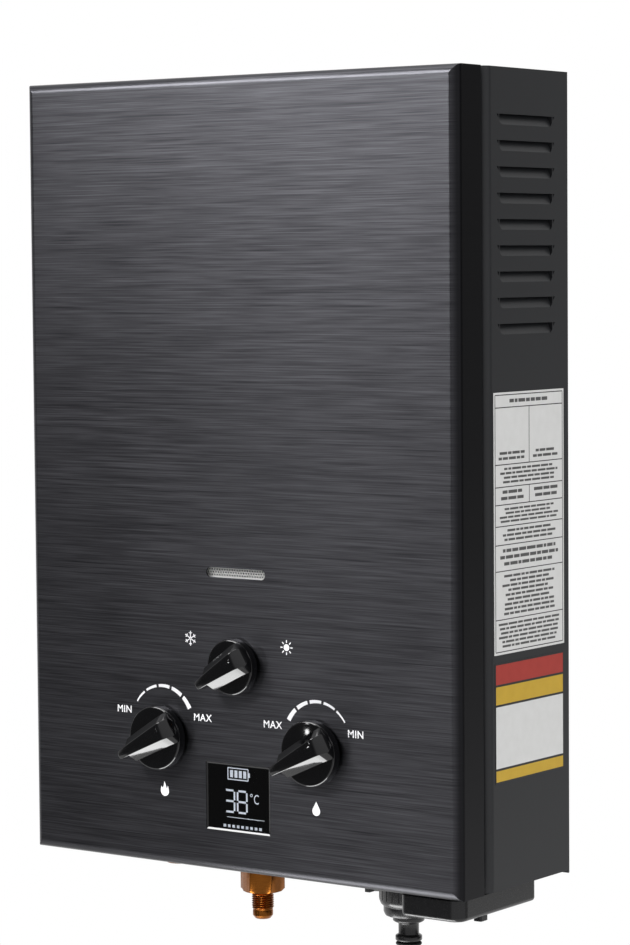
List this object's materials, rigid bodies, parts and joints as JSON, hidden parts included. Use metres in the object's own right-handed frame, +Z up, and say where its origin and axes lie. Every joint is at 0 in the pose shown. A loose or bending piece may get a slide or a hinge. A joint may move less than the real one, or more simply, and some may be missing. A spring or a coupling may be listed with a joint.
{
  "type": "portable propane water heater",
  "caption": "Wall-hung gas water heater with a brushed front cover, louvred sides, control knobs, a display window, a battery box and bottom connections.",
  "frame": {"origin": "on the wall plane at the back face, centred in width, level with the casing's bottom edge", "axes": "+Z up, +Y towards the wall, the front faces -Y, +X to the right seen from the front"},
  "size_m": [0.295, 0.125, 0.495],
  "materials": {
    "brushed_cover": "dark brushed",
    "black_casing": "satin black powder coat",
    "black_plastic": "matte",
    "gloss_plastic": "polished",
    "bright_steel": "bright",
    "brass": "machined",
    "copper": "drawn copper",
    "cast_aluminium": "cast",
    "rubber": "matte",
    "clear_window": "smoked clear",
    "board": "solder resist",
    "ceramic": "glazed"
  },
  "bodies": {
    "heater": {"front_cover": "brushed_cover", "back_panel": "black_casing", "side_panel_left": "black_casing", "side_panel_right": "black_casing", "top_panel": "black_casing", "bottom_panel": "black_casing", "cover_screws": "bright_steel", "sight_plate": "bright_steel", "display_housing": "black_plastic", "display_window": "clear_window", "display_cell": "gloss_plastic", "display_board": "board", "spindle_bonnets": "brass", "gas_valve_body": "cast_aluminium", "gas_solenoid": "bright_steel", "selector_valve_body": "cast_aluminium", "water_valve_body": "cast_aluminium", "water_valve_cover": "cast_aluminium", "diaphragm": "rubber", "valve_screws": "bright_steel", "microswitch": "black_plastic", "switch_bracket": "bright_steel", "gas_inlet": "brass", "gas_pipes": "copper", "water_inlet_stub": "brass", "union_nut": "black_plastic", "hose_spigot": "black_plastic", "hot_outlet": "brass", "drain_valve_body": "brass", "exchanger_coil": "copper", "hot_pipe": "copper", "fire_box": "copper", "fin_block": "copper", "return_bends": "copper", "flue_hood": "bright_steel", "burner_bars": "bright_steel", "burner_tray": "bright_steel", "gas_manifold": "cast_aluminium", "gas_injectors": "brass", "electrodes": "ceramic", "electrode_bracket": "bright_steel", "inner_brackets": "bright_steel", "control_box": "black_plastic", "overheat_cutout": "bright_steel", "water_sensor": "black_plastic", "battery_tray": "black_plastic", "battery_cells": "bright_steel", "battery_contacts": "bright_steel"},
    "season_selector": {"season_knob": "gloss_plastic", "season_spindle": "brass"},
    "gas_regulator": {"gas_knob": "gloss_plastic", "gas_spindle": "brass"},
    "water_regulator": {"water_knob": "gloss_plastic", "water_spindle": "brass"},
    "push_rod": {"linkage_rod": "bright_steel"},
    "lever": {"switch_lever": "bright_steel"},
    "button": {"switch_button": "black_plastic"},
    "lid": {"battery_lid": "black_plastic", "lid_contact": "bright_steel"},
    "drain_tap": {"drain_cock": "black_plastic"}
  },
  "joints": [
    {"name": "season_turn", "type": "hinge", "parent": "heater", "child": "season_selector", "pos_m": [0.0006, -0.11, 0.1155], "axis": [0, -1, 0], "range_deg": [0, 118]},
    {"name": "gas_turn", "type": "hinge", "parent": "heater", "child": "gas_regulator", "pos_m": [-0.053, -0.11, 0.072], "axis": [0, -1, 0], "range_deg": [0, 118]},
    {"name": "water_turn", "type": "hinge", "parent": "heater", "child": "water_regulator", "pos_m": [0.0533, -0.11, 0.072], "axis": [0, -1, 0], "range_deg": [0, 118]},
    {"name": "rod_slide", "type": "slide", "parent": "heater", "child": "push_rod", "axis": [-1, 0, 0], "range_m": [0, 0.004], "stiffness_N_per_m": 150, "springref_m": -0.002},
    {"name": "lever_turn", "type": "hinge", "parent": "heater", "child": "lever", "pos_m": [0.001, -0.06, 0.093], "axis": [0, 1, 0], "range_deg": [0, 17.5]},
    {"name": "button_slide", "type": "slide", "parent": "heater", "child": "button", "axis": [-1, 0, 0], "range_m": [0, 0.0027]},
    {"name": "lid_turn", "type": "hinge", "parent": "heater", "child": "lid", "pos_m": [0.124, -0.0305, -0.004], "axis": [1, 0, 0], "range_deg": [0, 88]},
    {"name": "drain_turn", "type": "hinge", "parent": "heater", "child": "drain_tap", "pos_m": [0.05, -0.046, -0.01], "axis": [0, 0, 1], "range_deg": [0, 90]}
  ],
  "couplings": [
    {"joint": "lever_turn", "follows": "rod_slide", "rad_per_m": 75},
    {"joint": "button_slide", "follows": "rod_slide", "ratio": 0.65}
  ]
}
